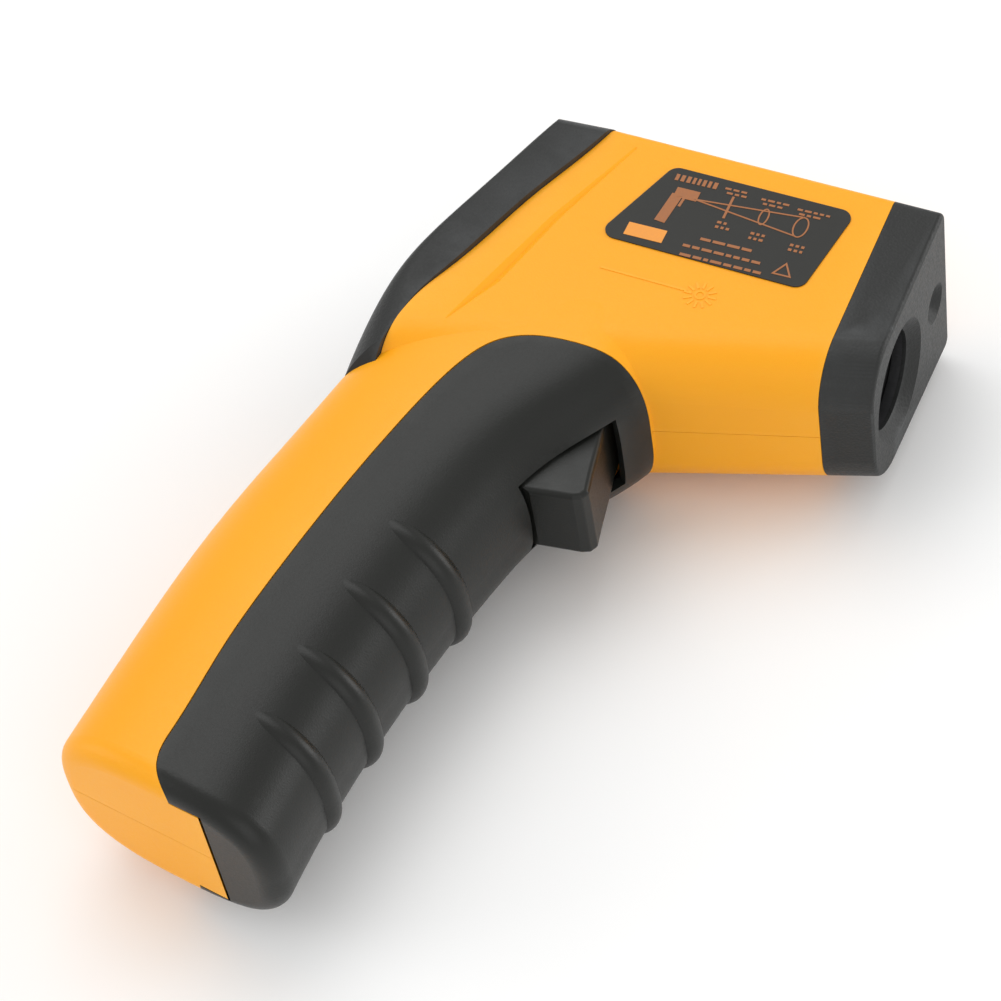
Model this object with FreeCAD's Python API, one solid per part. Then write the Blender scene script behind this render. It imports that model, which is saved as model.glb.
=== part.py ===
import FreeCAD, Part
import math
import os

from FreeCAD import Vector as V

# Pistol-grip infrared thermometer lying on its left side.
# The body is drawn in its own frame: +X out of the muzzle, +Y up through the head,
# +Z out of the right flank, origin at the sensor window's centre on the nose face.
# place() then moves it so that the origin is the middle of the base of its bounding box.

# Overall
WALL = 2.0                     # moulded wall
GAP = 0.3                      # clearance between bodies that move apart
REST_Z = 20.2                  # half width of the rear bezel, the widest part
FRAME_SHIFT = V(50.658, 49.667, REST_Z)

# Head
NOSE_HALF = 16.7               # half width at the nose face
FLARE = 0.04                   # half width gained per mm towards the rear
HEAD_TOP = 26.1
TOP_RISE = 0.03
HEAD_BOTTOM = -13.7
BOTTOM_FALL = 0.247
HEAD_TUCK = 1.2                # how much narrower the flank is at its lower edge
TOP_CORNER = 2.0
LOW_CORNER = 9.5
HEAD_REAR = -92.0
NOSE_SEAM = -8.8
REAR_LINE = [(-68.4, 32.0), (-75.8, 12.0), (-80.5, -2.0), (-84.0, -13.0), (-87.0, -25.0)]
PARTING = 0.05                 # each half stops this far short of the mid-plane
SEAM_GAP = 0.1                 # line between fixed mouldings

# Rear bezel
BEZEL_SEAM = [
    (-60.9, 32.0), (-64.8, 19.5), (-70.1, 6.9), (-74.0, -4.5),
    (-77.3, -12.9), (-79.7, -18.5), (-81.4, -26.0), (-82.9, -37.0),
]
BEZEL_LOW = [(-96.0, -36.0), (-96.0, 32.0)]
# Bezel sections: height, back x, half width, radius of the rear edge
BEZEL_ROWS = [
    (32.0, -70.3, 20.35, 1.5),
    (12.0, -77.6, 20.35, 1.5),
    (-2.0, -82.4, 20.25, 1.8),
    (-13.0, -86.1, 19.6, 3.0),
    (-20.0, -87.7, 19.0, 5.0),
    (-28.0, -88.8, 18.2, 8.0),
    (-40.0, -89.2, 16.8, 12.0),
]
BEZEL_TOP = 28.1
BEZEL_CORNER = 3.6
# The bezel's lower outline seen from behind: height, half width
BEZEL_FOOT = [(-8.0, REST_Z), (-20.0, 20.0), (-28.0, 18.8), (-33.5, 15.4), (-36.2, 0.0)]
PANEL_TILT = math.radians(18.0)
PANEL_AT = V(-76.9, 1.5, 0)    # middle of the recessed display panel
PANEL_HALF_W = 17.6
PANEL_UP = 23.5
PANEL_DOWN = 18.5
FLOOR_DOWN = 29.0              # the panel's plate runs on under the bezel's foot
FLOOR_THICK = 2.2

# Handle: height, back x, front x, half thickness, squareness of the section
HANDLE = [
    (-2.0, -82.0, -35.5, 16.4, 4.0),
    (-14.0, -84.6, -35.0, 17.8, 3.8),
    (-24.0, -87.7, -37.2, 17.6, 3.4),
    (-38.0, -91.5, -45.2, 16.9, 2.9),
    (-52.0, -94.9, -50.2, 16.4, 2.6),
    (-70.0, -98.4, -53.6, 16.1, 2.5),
    (-90.0, -100.3, -56.4, 15.9, 2.5),
    (-110.0, -101.1, -58.0, 15.7, 2.6),
    (-134.0, -101.3, -57.6, 15.4, 2.8),
]
SECTION_POINTS = 28
BASE_AT = (-84.0, -123.7)      # a point on the handle's flat base
BASE_SLOPE = -0.17
BASE_ROUND = 3.6

# Battery door (the grip), its hinge and the trigger window
SEAM = [
    (-34.0, -24.2), (-39.0, -22.7), (-42.4, -21.8), (-47.3, -21.5), (-52.4, -21.7), (-58.1, -22.6),
    (-63.0, -25.2), (-66.4, -29.8), (-68.6, -35.0), (-71.6, -45.4), (-74.8, -60.2), (-77.9, -79.9),
    (-79.7, -97.6), (-80.2, -114.1), (-80.3, -118.2), (-79.2, -121.8), (-76.6, -124.8), (-71.0, -127.4),
]
SEAM_FRONT = [(-66.0, -136.0), (-20.0, -136.0), (-20.0, -24.2)]
HINGE = V(-67.0, -122.2, 0)
KNUCKLE_R = 2.7
KNUCKLE_HALF = 5.0
EAR_END = 10.6
HINGE_PIN_R = 1.0
BORE_SLACK = 0.05
LIP_R = 5.1                    # hinge radius of the door's rear lower edge
BASE_HALF = 11.7               # half width of the flat base
WINDOW_HALF = 8.4
WINDOW_R = 76.6                # hinge radius of the window's lower lip
RIDGE_R = 2.6                  # the grip's ridges are round rolls sunk into the shell
RIDGE_HEIGHT = 1.2
RIDGE_SINK = 1.9               # how much lower a ridge lies at its ends, where it dives under the surface
RIDGE_REACH = math.radians(74)
RIDGE_RISE = 3.0               # how much higher its ends lie than its middle
RIDGE_POINTS = 15
RIDGE_AT = [-67.7, -81.2, -95.4, -109.2]

# Trigger
TRIGGER_PIVOT = V(-47.0, -26.5, 0)
TRIGGER_HALF = 7.7
TRIGGER_PIN_R = 1.0
CHEEK_IN = 8.6
CHEEK_OUT = 10.4
SPRING_Y = -41.5
SPRING_FROM = -47.1
SPRING_LENGTH = 14.2
STEM_Y = -33.5
STEM_R = 1.5
STEM_LENGTH = 5.8
STEM_AT = -58.5
STEM_ROOM = 1.1                # free depth behind the stem in the switch

# Nose and sensor
BORE_R = 9.0
CHAMFER_R = 11.4
BARREL_R = 10.6
BARREL_FROM = -2.6
BARREL_TO = -41.0
LENS_X = -17.0
LASER_Y = 19.2
LASER_R = 3.0
LASER_HOLE_R = 2.0
LASER_RING_R = 3.9

# Battery
BATTERY = (26.5, 48.5, 17.5)
BATTERY_AT = (-89.6, -116.2)   # rear lower corner

# Flank groove: x, y, width, depth
GROOVE = [
    (-73.0, -23.5, 0.3, 0.1), (-68.5, -12.5, 2.4, 0.6), (-63.9, 4.0, 1.6, 0.4), (-56.5, 24.0, 0.5, 0.1),
]

# Fixing screws and their bosses
SCREWS = [(-30.0, 14.6), (-58.0, -9.0), (-93.0, -61.0), (-96.0, -112.0)]
SCREW_SEAT = 7.0
BOSS_R = 2.9
SCREW_R = 1.1
SCREW_HEAD_R = 2.1
SCREW_HEAD_H = 1.8

# Display and keys
LCD_HALF_W = 14.0
LCD_LOW = -1.5
LCD_HIGH = 21.0
KEY_Y = -11.0
KEY_X = (-10.5, 0.0, 10.5)
KEY_HALF = (3.9, 3.0)
KEY_TRAVEL = 0.8
KEY_ROOM = 0.35                # gap round a key
PANE_LAP = 1.0                 # how far the window pane laps the glass and the frame
PANE_DEPTH = 1.25

# Side label
LABEL = [(-48.3, 21.5), (-14.2, 20.5), (-17.4, 1.3), (-55.5, 2.5)]
LABEL_THICK = 0.25


def place(shape):
    moved = shape.copy()
    moved.translate(FRAME_SHIFT)
    return moved


def save(node, shape):
    solids = shape.Solids
    kept = solids[0] if len(solids) == 1 else Part.makeCompound(solids)
    place(kept).exportStep("parts/%s.step" % node)


def box(x0, x1, y0, y1, z0, z1):
    return Part.makeBox(x1 - x0, y1 - y0, z1 - z0, V(x0, y0, z0))


def rod(start, axis, radius, length):
    return Part.makeCylinder(radius, length, start, axis)


def slab(points, z0, z1):
    loop = Part.makePolygon([V(x, y, z0) for x, y in points + points[:1]])
    return Part.Face(loop).extrude(V(0, 0, z1 - z0))


def curvedSlab(curve, straight, z0, z1):
    """A prism whose outline is a smooth curve closed by straight lines."""
    line = Part.BSplineCurve()
    line.interpolate([V(x, y, z0) for x, y in curve])
    ends = [V(x, y, z0) for x, y in [curve[-1]] + straight + [curve[0]]]
    loop = Part.Wire([line.toShape()] + Part.makePolygon(ends).Edges)
    return Part.Face(loop).extrude(V(0, 0, z1 - z0))


def tryFillet(shape, radius, edges):
    """Round the edges, or keep them sharp where the kernel can't."""
    try:
        rounded = shape.makeFillet(radius, edges)
    except Exception:
        return shape
    return rounded if rounded.isValid() and rounded.Volume > 0 else shape


# ---- Outer form, drawn at any inset so that walls have an even thickness ----

def headSection(x, inset):
    top = HEAD_TOP - TOP_RISE * x - inset
    low = HEAD_BOTTOM + BOTTOM_FALL * x + inset
    half = NOSE_HALF - FLARE * x - inset
    tucked = half - HEAD_TUCK
    corner = max(TOP_CORNER - inset, 1.0)
    belly = LOW_CORNER - inset
    cut = math.sqrt(0.5)
    points = []
    arcs = []
    for side in (1, -1):
        a = V(x, top, side * (half - corner))
        b = V(x, top - corner * (1 - cut), side * (half - corner * (1 - cut)))
        c = V(x, top - corner, side * half)
        d = V(x, low + belly, side * tucked)
        e = V(x, low + belly * (1 - cut), side * (tucked - belly * (1 - cut)))
        f = V(x, low, side * (tucked - belly))
        points.append((a, b, c, d, e, f))
    right, left = points
    arcs.append(Part.Arc(right[0], right[1], right[2]).toShape())
    arcs.append(Part.makeLine(right[2], right[3]))
    arcs.append(Part.Arc(right[3], right[4], right[5]).toShape())
    arcs.append(Part.makeLine(right[5], left[5]))
    arcs.append(Part.Arc(left[5], left[4], left[3]).toShape())
    arcs.append(Part.makeLine(left[3], left[2]))
    arcs.append(Part.Arc(left[2], left[1], left[0]).toShape())
    arcs.append(Part.makeLine(left[0], right[0]))
    return Part.Wire(arcs)


def headForm(inset):
    front = -inset
    form = Part.makeLoft([headSection(front, inset), headSection(HEAD_REAR, inset)], True, True)
    line = [(x + inset, y) for x, y in REAR_LINE]
    keep = curvedSlab(line, [(line[-1][0], -60.0), (10.0, -60.0), (10.0, 32.0)], -30.0, 30.0)
    return form.common(keep)


def handleSection(row, inset):
    height, back, front, half, power = row
    middle = (back + front) / 2
    reach = (front - back) / 2 - inset
    thick = half - inset
    points = []
    for i in range(SECTION_POINTS):
        turn = 2 * math.pi * i / SECTION_POINTS
        c, s = math.cos(turn), math.sin(turn)
        x = middle + reach * math.copysign(abs(c) ** (2 / power), c)
        z = thick * math.copysign(abs(s) ** (2 / power), s)
        points.append(V(x, height, z))
    line = Part.BSplineCurve()
    line.interpolate(points, PeriodicFlag=True)
    return Part.Wire([line.toShape()])


def handleForm(inset):
    form = Part.makeLoft([handleSection(row, inset) for row in HANDLE], True, False)
    x0, y0 = BASE_AT
    rise = inset * math.sqrt(1 + BASE_SLOPE ** 2)
    low = [(x, y0 + BASE_SLOPE * (x - x0) + rise) for x in (-120.0, -30.0)]
    keep = slab(low + [(-30.0, 0.0), (-120.0, 0.0)], -30.0, 30.0)
    form = form.common(keep)
    edges = [e for e in form.Edges if e.BoundBox.YMax < -118.0 and e.BoundBox.XLength > 5.0]
    return tryFillet(form, max(BASE_ROUND - inset, 1.2), edges)


def bodyForm(inset):
    return headForm(inset).fuse(handleForm(inset))


def doorRegion(slack):
    """The space the battery door fills, drawn back from its seam by slack."""
    seam = [(x + slack * 0.8, y - slack * 0.6) for x, y in SEAM]
    region = curvedSlab(seam, SEAM_FRONT, -30.0, 30.0)
    half = BASE_HALF + slack
    plate = box(-90.0, HINGE.x, -140.0, -121.0, -half, half)
    lip = rod(V(HINGE.x, HINGE.y, -half), V(0, 0, 1), LIP_R - slack, 2 * half)
    return region.cut(plate.cut(lip))


def bezelRegion(grow):
    seam = [(x + grow, y) for x, y in BEZEL_SEAM]
    return curvedSlab(seam, BEZEL_LOW, -30.0, 30.0)


# ---- Battery door ----

def windowCutter():
    lip = []
    for x in (-60.0, -52.0, -45.0, -39.0, -34.0, -28.0):
        lip.append((x, HINGE.y + math.sqrt(WINDOW_R ** 2 - (x - HINGE.x) ** 2)))
    outline = lip + [(-28.0, -30.4), (-39.6, -29.4), (-41.7, -28.0), (-42.2, -19.0), (-60.0, -19.0)]
    return slab(outline, -WINDOW_HALF, WINDOW_HALF)


def handleRow(height):
    """The handle's section at any height, between the given rows."""
    for upper, lower in zip(HANDLE, HANDLE[1:]):
        if lower[0] <= height <= upper[0]:
            share = (upper[0] - height) / (upper[0] - lower[0])
            return [a + (b - a) * share for a, b in zip(upper, lower)]
    return HANDLE[-1]


def gripRidge(height):
    """A roll across the front of the grip that dives into the shell at both ends."""
    points = []
    for i in range(RIDGE_POINTS):
        share = 2 * i / (RIDGE_POINTS - 1) - 1
        turn = share * RIDGE_REACH
        y = height + RIDGE_RISE * share ** 2
        row_y, back, front, half, power = handleRow(y)
        depth = RIDGE_R - RIDGE_HEIGHT + RIDGE_SINK * share ** 4
        reach = (front - back) / 2 - depth
        x = (back + front) / 2 + reach * math.cos(turn) ** (2 / power)
        z = (half - depth) * math.copysign(abs(math.sin(turn)) ** (2 / power), turn)
        points.append(V(x, y, z))
    line = Part.BSplineCurve()
    line.interpolate(points)
    start = line.value(line.FirstParameter)
    ring = Part.Wire([Part.makeCircle(RIDGE_R, start, line.tangent(line.FirstParameter)[0])])
    return Part.Wire([line.toShape()]).makePipeShell([ring], True, True)


def batteryDoor(outer, inner):
    shell = outer.cut(inner)
    for height in RIDGE_AT:
        shell = shell.fuse(gripRidge(height).cut(inner))
    door = shell.common(doorRegion(GAP / 2))
    door = door.cut(windowCutter())
    room = KNUCKLE_HALF + GAP
    door = door.cut(rod(V(HINGE.x, HINGE.y, -room), V(0, 0, 1), KNUCKLE_R + GAP, 2 * room))
    bore = rod(V(HINGE.x, HINGE.y, -EAR_END), V(0, 0, 1), HINGE_PIN_R + BORE_SLACK, 2 * EAR_END)
    for side in (1, -1):
        z = KNUCKLE_HALF + GAP if side > 0 else -EAR_END
        width = EAR_END - KNUCKLE_HALF - GAP
        ear = rod(V(HINGE.x, HINGE.y, z), V(0, 0, 1), KNUCKLE_R, width)
        foot = box(HINGE.x - 1.2, HINGE.x + KNUCKLE_R, HINGE.y - 3.4, HINGE.y, z, z + width)
        door = door.fuse(ear.fuse(foot.common(outer)))
    door = door.cut(bore)
    return max(door.Solids, key=lambda s: s.Volume)


def hingePin():
    return rod(V(HINGE.x, HINGE.y, -EAR_END), V(0, 0, 1), HINGE_PIN_R, 2 * EAR_END)


# ---- Housing halves ----

def trunkInside(inner):
    """Ribs inside the shell: neck floor, trigger cheeks, battery back wall and top wall."""
    floor = box(-66.5, -37.5, -19.6, -18.0, -19.0, 19.0)
    floor = floor.cut(box(-51.5, -42.0, -20.0, -17.0, -CHEEK_IN, CHEEK_IN))
    cheeks = None
    for side in (1, -1):
        z0 = CHEEK_IN if side > 0 else -CHEEK_OUT
        outline = [
            (-66.5, -18.0), (-66.5, -30.0), (-62.0, -46.0), (-51.5, -46.0), (-44.3, -32.0), (-42.8, -18.0),
        ]
        cheek = slab(outline, z0, z0 + CHEEK_OUT - CHEEK_IN)
        cheeks = cheek if cheeks is None else cheeks.fuse(cheek)
    tie = box(-66.5, -64.9, -46.0, -18.0, -CHEEK_OUT, CHEEK_OUT)
    tie = tie.common(slab([(-66.5, -18.0), (-66.5, -30.0), (-62.0, -46.0), (-60.0, -18.0)], -12.0, 12.0))
    back = box(-93.2, -91.4, -124.0, -61.0, -16.0, 16.0)
    back = back.fuse(box(-92.0, -78.5, -62.5, -61.0, -16.0, 16.0))
    ribs = floor.fuse(cheeks).fuse(tie).fuse(back)
    return ribs.common(inner)


def hingeArm(outer):
    """The housing's knuckle, held from above so that the door's base runs under it."""
    outline = [
        (-68.7, -120.3), (-70.3, -118.1), (-73.4, -118.1), (-73.4, -128.0), (-77.0, -128.0), (-77.0, -116.5),
        (-67.0, -116.5), (-65.2, -120.2), (-67.0, -122.2),
    ]
    arm = slab(outline, -KNUCKLE_HALF, KNUCKLE_HALF).common(outer)
    knuckle = rod(V(HINGE.x, HINGE.y, -KNUCKLE_HALF), V(0, 0, 1), KNUCKLE_R, 2 * KNUCKLE_HALF)
    return arm.fuse(knuckle)


def flankHeight(x, y):
    """Half width of the head's flat flank at a point of its side view."""
    top = HEAD_TOP - TOP_RISE * x - TOP_CORNER
    low = HEAD_BOTTOM + BOTTOM_FALL * x + LOW_CORNER
    return NOSE_HALF - FLARE * x - HEAD_TUCK * (top - y) / (top - low)


def flankGroove(side):
    """A shallow V cut that tapers out at both ends."""
    rings = []
    for before, at, after in zip(GROOVE[:1] + GROOVE, GROOVE, GROOVE[1:] + GROOVE[-1:]):
        x, y, width, depth = at
        along = V(after[0] - before[0], after[1] - before[1], 0).normalize()
        across = V(-along.y, along.x, 0) * (width / 2)
        level = flankHeight(x, y)
        middle = V(x, y, 0)
        corners = [middle + across * 1.5, middle - across * 1.5, middle]
        heights = [level + depth / 2, level + depth / 2, level - depth]
        ring = [V(c.x, c.y, side * h) for c, h in zip(corners, heights)]
        rings.append(Part.makePolygon(ring + ring[:1]))
    return Part.makeLoft(rings, True, True)


def shellBody(outer, inner):
    shell = outer.cut(inner)
    shell = shell.cut(doorRegion(-GAP / 2))
    shell = shell.cut(bezelRegion(SEAM_GAP).common(bezelPrism()))
    shell = shell.cut(box(NOSE_SEAM - 0.1, 10.0, -60.0, 60.0, -30.0, 30.0))
    shell = shell.fuse(trunkInside(inner))
    shell = shell.fuse(hingeArm(outer))
    for side in (1, -1):
        shell = shell.cut(flankGroove(side))
    for x, y in SCREWS:
        boss = rod(V(x, y, -18.0), V(0, 0, 1), BOSS_R, 36.0).common(inner)
        shell = shell.fuse(boss)
    for x in (-16.0, -37.0):
        saddle = box(x - 1.0, x + 1.0, -30.0, 8.0, -18.0, 18.0).common(inner)
        hole = rod(V(x - 1.0, 0, 0), V(1, 0, 0), BARREL_R + 0.05, 2.0)
        shell = shell.fuse(saddle.cut(hole).cut(box(x - 1.0, x + 1.0, 0, 9.0, -12.0, 12.0)))
    bore = rod(V(HINGE.x, HINGE.y, -12.0), V(0, 0, 1), HINGE_PIN_R, 24.0)
    pivot = rod(V(TRIGGER_PIVOT.x, TRIGGER_PIVOT.y, -12.0), V(0, 0, 1), TRIGGER_PIN_R, 24.0)
    return shell.cut(bore).cut(pivot)


def housingHalf(body, side):
    z0, z1 = (PARTING, 30.0) if side > 0 else (-30.0, -PARTING)
    half = body.common(box(-120.0, 20.0, -140.0, 60.0, z0, z1))
    for x, y in SCREWS:
        if side > 0:
            half = half.cut(rod(V(x, y, 0), V(0, 0, 1), SCREW_R, 9.0))
        else:
            half = half.cut(rod(V(x, y, -30.0), V(0, 0, 1), SCREW_R, 30.0))
            half = half.cut(rod(V(x, y, -30.0), V(0, 0, 1), SCREW_HEAD_R + 0.3, 30.0 - SCREW_SEAT))
    return max(half.Solids, key=lambda s: s.Volume)


def housingScrews():
    screws = []
    for x, y in SCREWS:
        top = -SCREW_SEAT - SCREW_HEAD_H
        shank = rod(V(x, y, -SCREW_SEAT), V(0, 0, 1), SCREW_R, SCREW_SEAT + 8.0)
        head = rod(V(x, y, top), V(0, 0, 1), SCREW_HEAD_R, SCREW_HEAD_H)
        slot = box(x - 1.4, x + 1.4, y - 0.25, y + 0.25, top - 0.1, top + 0.8)
        slot = slot.fuse(box(x - 0.25, x + 0.25, y - 1.4, y + 1.4, top - 0.1, top + 0.8))
        screws.append(shank.fuse(head).cut(slot))
    return Part.makeCompound(screws)


# ---- Nose ----

def noseCap(outer, inner):
    cap = outer.common(box(NOSE_SEAM, 10.0, -60.0, 60.0, -30.0, 30.0))
    rim = [e for e in cap.Edges if e.BoundBox.XMin > -0.01]
    cap = tryFillet(cap, 0.9, rim)
    cap = cap.cut(inner.common(box(-20.0, -3.2, -60.0, 60.0, -30.0, 30.0)))
    cap = cap.cut(rod(V(-12.0, 0, 0), V(1, 0, 0), BORE_R, 20.0))
    cap = cap.cut(rod(V(-12.0, 0, 0), V(1, 0, 0), BARREL_R + 0.1, 12.0 + BARREL_FROM))
    mouth = Part.makeCone(BORE_R, CHAMFER_R, 1.9, V(-1.9, 0, 0), V(1, 0, 0))
    cap = cap.cut(mouth)
    dish = Part.makeCone(LASER_HOLE_R, LASER_RING_R, 1.5, V(-1.5, LASER_Y, 0), V(1, 0, 0))
    cap = cap.cut(dish)
    cap = cap.cut(rod(V(-12.0, LASER_Y, 0), V(1, 0, 0), LASER_HOLE_R, 20.0))
    collar = outerSpigot(inner)
    return cap.fuse(collar)


def outerSpigot(inner):
    """The lip at the back of the nose cap that plugs into the housing."""
    root = inner.common(box(NOSE_SEAM, NOSE_SEAM + 1.6, -60.0, 60.0, -30.0, 30.0))
    tip = headForm(WALL + 0.05).common(box(NOSE_SEAM - 2.4, NOSE_SEAM + 1.0, -60.0, 60.0, -30.0, 30.0))
    hollow = headForm(WALL + 1.3).common(box(NOSE_SEAM - 2.5, NOSE_SEAM + 1.7, -60.0, 60.0, -30.0, 30.0))
    ring = root.fuse(tip).cut(hollow)
    return ring.cut(rod(V(-20.0, LASER_Y, 0), V(1, 0, 0), LASER_R + 0.1, 20.0))


def sensorBarrel():
    tube = rod(V(BARREL_TO, 0, 0), V(1, 0, 0), BARREL_R, BARREL_FROM - BARREL_TO)
    tube = tube.cut(rod(V(BARREL_TO + 2.0, 0, 0), V(1, 0, 0), BORE_R, 60.0))
    tube = tube.cut(rod(V(BARREL_TO - 1.0, 0, 0), V(1, 0, 0), 4.8, 5.0))
    x = -4.4
    while x > LENS_X + 2.5:
        ring = Part.makeCone(BORE_R - 0.1, BORE_R + 0.75, 0.85, V(x - 0.85, 0, 0), V(1, 0, 0))
        tube = tube.cut(ring)
        x -= 1.7
    return tube


def fresnelLens():
    return rod(V(LENS_X - 1.0, 0, 0), V(1, 0, 0), BORE_R, 1.0)


def lensRing():
    ring = rod(V(LENS_X, 0, 0), V(1, 0, 0), BORE_R, 1.6)
    return ring.cut(rod(V(LENS_X - 1, 0, 0), V(1, 0, 0), BORE_R - 1.3, 4.0))


def thermopile():
    can = rod(V(BARREL_TO - 0.9, 0, 0), V(1, 0, 0), 4.6, 4.2)
    flange = rod(V(BARREL_TO - 1.4, 0, 0), V(1, 0, 0), 4.7, 0.5)
    part = can.fuse(flange)
    for y, z in ((1.8, 1.8), (1.8, -1.8), (-1.8, 1.8), (-1.8, -1.8)):
        part = part.fuse(rod(V(BARREL_TO - 4.6, y, z), V(1, 0, 0), 0.22, 3.3))
    return part


def sensorBoard():
    board = rod(V(BARREL_TO - 3.0, 0, 0), V(1, 0, 0), 10.4, 1.6)
    for y, z in ((1.8, 1.8), (1.8, -1.8), (-1.8, 1.8), (-1.8, -1.8)):
        board = board.cut(rod(V(BARREL_TO - 4.0, y, z), V(1, 0, 0), 0.22, 4.0))
    return board


def laserModule():
    body = rod(V(-22.5, LASER_Y, 0), V(1, 0, 0), LASER_R, 17.5)
    return body.cut(rod(V(-6.4, LASER_Y, 0), V(1, 0, 0), 1.8, 2.0))


def laserLens():
    return rod(V(-6.4, LASER_Y, 0), V(1, 0, 0), 1.8, 0.9)


# ---- Rear: bezel, display, board and keys, drawn on the tilted panel ----

def panelPlace(shape):
    """Panel frame to body frame: x across, y up the panel, z out of its face."""
    up = V(math.sin(PANEL_TILT), math.cos(PANEL_TILT), 0)
    out = V(-math.cos(PANEL_TILT), math.sin(PANEL_TILT), 0)
    across = up.cross(out)
    matrix = FreeCAD.Matrix(
        across.x, up.x, out.x, PANEL_AT.x,
        across.y, up.y, out.y, PANEL_AT.y,
        across.z, up.z, out.z, PANEL_AT.z,
        0, 0, 0, 1)
    moved = shape.copy()
    moved.Placement = FreeCAD.Placement(matrix).multiply(shape.Placement)
    return moved


def roundedBox(half_w, y0, y1, z0, z1, corner):
    block = Part.makeBox(2 * half_w, y1 - y0, z1 - z0, V(-half_w, y0, z0))
    uprights = [e for e in block.Edges if e.BoundBox.XLength < 0.01 and e.BoundBox.YLength < 0.01]
    return block.makeFillet(corner, uprights)


def bezelOutline():
    """The bezel seen from behind: square shoulders that taper to a rounded foot."""
    half = REST_Z
    flat = half - BEZEL_CORNER
    bend = BEZEL_CORNER * (1 - math.sqrt(0.5))
    edges = [Part.makeLine(V(0, BEZEL_TOP, -flat), V(0, BEZEL_TOP, flat))]
    for side in (1, -1):
        shoulder = V(0, BEZEL_TOP - bend, side * (half - bend))
        low = V(0, BEZEL_TOP - BEZEL_CORNER, side * half)
        edges.append(Part.Arc(V(0, BEZEL_TOP, side * flat), shoulder, low).toShape())
        edges.append(Part.makeLine(low, V(0, BEZEL_FOOT[0][0], side * half)))
    right = [V(0, y, z) for y, z in BEZEL_FOOT]
    left = [V(0, y, -z) for y, z in BEZEL_FOOT[-2::-1]]
    foot = Part.BSplineCurve()
    foot.interpolate(right + left, InitialTangent=V(0, -20, 0), FinalTangent=V(0, 20, 0))
    edges.append(foot.toShape())
    return Part.Wire(Part.__sortEdges__(edges))


def arcEdge(start, middle, end):
    return Part.Arc(start, middle, end).toShape()


def bezelSection(height, back, half, corner):
    bend = corner * (1 - math.sqrt(0.5))
    front = -50.0
    flat = half - corner
    edges = [
        Part.makeLine(V(front, height, -half), V(front, height, half)),
        Part.makeLine(V(front, height, half), V(back + corner, height, half)),
        arcEdge(V(back + corner, height, half), V(back + bend, height, half - bend), V(back, height, flat)),
        Part.makeLine(V(back, height, flat), V(back, height, -flat)),
        arcEdge(V(back, height, -flat), V(back + bend, height, bend - half), V(back + corner, height, -half)),
        Part.makeLine(V(back + corner, height, -half), V(front, height, -half)),
    ]
    return Part.Wire(edges)


def bezelPrism():
    prism = Part.Face(bezelOutline()).extrude(V(60.0, 0, 0))
    prism.translate(V(-110.0, 0, 0))
    return prism


def rearBezel(inner):
    prism = bezelPrism()
    rounded = Part.makeLoft([bezelSection(*row) for row in BEZEL_ROWS], True, False)
    # the two flanks are flat where they reach the full width, so the body can lie on either
    rounded = rounded.common(Part.makeBox(80.0, 100.0, 2 * REST_Z, V(-120.0, -50.0, -REST_Z)))
    solid = rounded.common(prism).common(bezelRegion(0.0)).cut(inner)
    recess = panelPlace(roundedBox(PANEL_HALF_W, -PANEL_DOWN, PANEL_UP, 0.0, 20.0, 4.0))
    solid = solid.cut(recess)
    floor = panelPlace(roundedBox(PANEL_HALF_W + 0.8, -FLOOR_DOWN, PANEL_UP + 1.0, -FLOOR_THICK, 0.0, 4.0))
    solid = solid.fuse(floor.common(prism).common(rounded))
    view = roundedBox(LCD_HALF_W - PANE_LAP, LCD_LOW + PANE_LAP, LCD_HIGH - PANE_LAP, -3.0, 3.0, 1.5)
    solid = solid.cut(panelPlace(view))
    edge = PANE_LAP + BORE_SLACK
    rebate = roundedBox(LCD_HALF_W + edge, LCD_LOW - edge, LCD_HIGH + edge, -PANE_DEPTH, 3.0, 2.0)
    solid = solid.cut(panelPlace(rebate))
    for x in KEY_X:
        hole = roundedBox(KEY_HALF[0] + KEY_ROOM, -KEY_HALF[1] - KEY_ROOM, KEY_HALF[1] + KEY_ROOM, -3.0, 3.0, 2.6)
        hole.translate(V(x, KEY_Y, 0))
        solid = solid.cut(panelPlace(hole))
    return max(solid.Solids, key=lambda s: s.Volume)


def displayWindow():
    pane = roundedBox(LCD_HALF_W + PANE_LAP, LCD_LOW - PANE_LAP, LCD_HIGH + PANE_LAP, -PANE_DEPTH, 0.15, 2.0)
    return panelPlace(pane)


def lcdGlass():
    return panelPlace(roundedBox(LCD_HALF_W, LCD_LOW, LCD_HIGH, -5.2, -2.6, 0.3))


def lcdFrame():
    frame = roundedBox(LCD_HALF_W + 1.6, LCD_LOW - 1.6, LCD_HIGH + 1.6, -8.0, -2.3, 0.8)
    frame = frame.cut(roundedBox(LCD_HALF_W, LCD_LOW, LCD_HIGH, -5.2, -2.0, 0.3))
    frame = frame.cut(roundedBox(LCD_HALF_W - 1.4, LCD_LOW, LCD_HIGH, -9.0, -5.0, 0.3))
    return panelPlace(frame)


def zebraStrips():
    strips = []
    for y in (LCD_LOW + 0.8, LCD_HIGH - 2.8):
        strip = Part.makeBox(2 * LCD_HALF_W - 4.0, 2.0, 2.8, V(-LCD_HALF_W + 2.0, y, -8.0))
        strips.append(panelPlace(strip))
    return Part.makeCompound(strips)


def mainBoard():
    board = roundedBox(16.0, -22.0, 23.0, -9.6, -8.0, 1.5)
    for x in (-13.8, 13.8):
        hole = Part.makeCylinder(1.1, 4.0, V(x, -20.0, -11.0))
        board = board.cut(hole)
    return panelPlace(board)


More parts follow.
